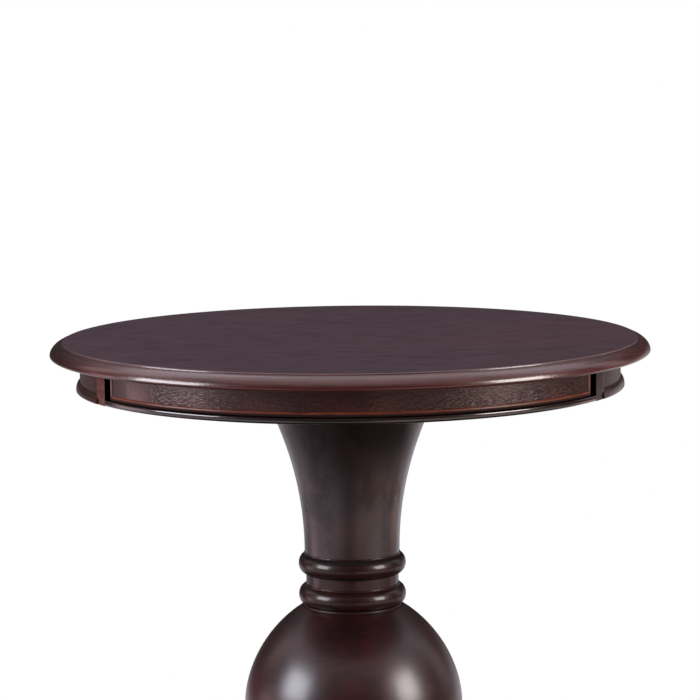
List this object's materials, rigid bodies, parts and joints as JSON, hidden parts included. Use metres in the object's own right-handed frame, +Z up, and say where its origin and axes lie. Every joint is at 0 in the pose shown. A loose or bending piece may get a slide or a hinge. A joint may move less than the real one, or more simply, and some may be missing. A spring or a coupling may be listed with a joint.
{
  "type": "pedestal end table",
  "caption": "Round pedestal end table with a moulded top, a curved drawer hidden in its apron, a flared column with rings, a ball urn, and a bell foot on a round plinth.",
  "frame": {"origin": "on the floor, on the axis of the round top and the column", "axes": "+Z up, -Y the way the drawer opens, +X to the right of someone facing the drawer"},
  "size_m": [0.6099, 0.61, 0.635],
  "materials": {
    "top_veneer": "dark walnut-brown stain under satin lacquer, fine open grain",
    "dark_wood": "very dark espresso stain under semi-gloss lacquer",
    "red_wood": "red-brown stain under semi-gloss lacquer",
    "raw_wood": "plain planed hardwood, unfinished",
    "plywood": "sanded plywood, unfinished",
    "steel": "zinc-plated steel",
    "glide_plastic": "matt black nylon"
  },
  "bodies": {
    "table": {"top_panel": "top_veneer", "edge_moulding": "dark_wood", "apron_shell": "dark_wood", "apron_bead": "red_wood", "stile_left": "red_wood", "stile_right": "red_wood", "drawer_rail": "dark_wood", "case_bottom": "plywood", "glue_block_1": "raw_wood", "glue_block_2": "raw_wood", "glue_block_3": "raw_wood", "glue_block_4": "raw_wood", "glue_block_5": "raw_wood", "glue_block_6": "raw_wood", "glue_block_7": "raw_wood", "case_screws": "steel", "guide_left": "raw_wood", "guide_right": "raw_wood", "guide_screws": "steel", "stop_button": "raw_wood", "button_screw": "steel", "stop_left": "raw_wood", "stop_right": "raw_wood", "mounting_plate": "dark_wood", "plate_screws": "steel", "column_neck": "dark_wood", "ring_collar": "dark_wood", "urn": "dark_wood", "foot_ring": "dark_wood", "base_bell": "dark_wood", "base_plinth": "dark_wood", "bell_screws": "steel", "tie_rod": "steel", "rod_nuts": "steel", "rod_washers": "steel", "glide_1": "glide_plastic", "glide_2": "glide_plastic", "glide_3": "glide_plastic", "glide_4": "glide_plastic", "glide_screws": "steel"},
    "drawer": {"drawer_front": "dark_wood", "cock_bead_bottom": "red_wood", "cock_bead_left": "red_wood", "cock_bead_right": "red_wood", "drawer_side_left": "raw_wood", "drawer_side_right": "raw_wood", "drawer_back": "raw_wood", "drawer_bottom": "plywood", "back_pins": "steel"}
  },
  "joints": [
    {"name": "drawer_slide", "type": "slide", "parent": "table", "child": "drawer", "axis": [0, -1, 0], "range_m": [0, 0.17]}
  ]
}
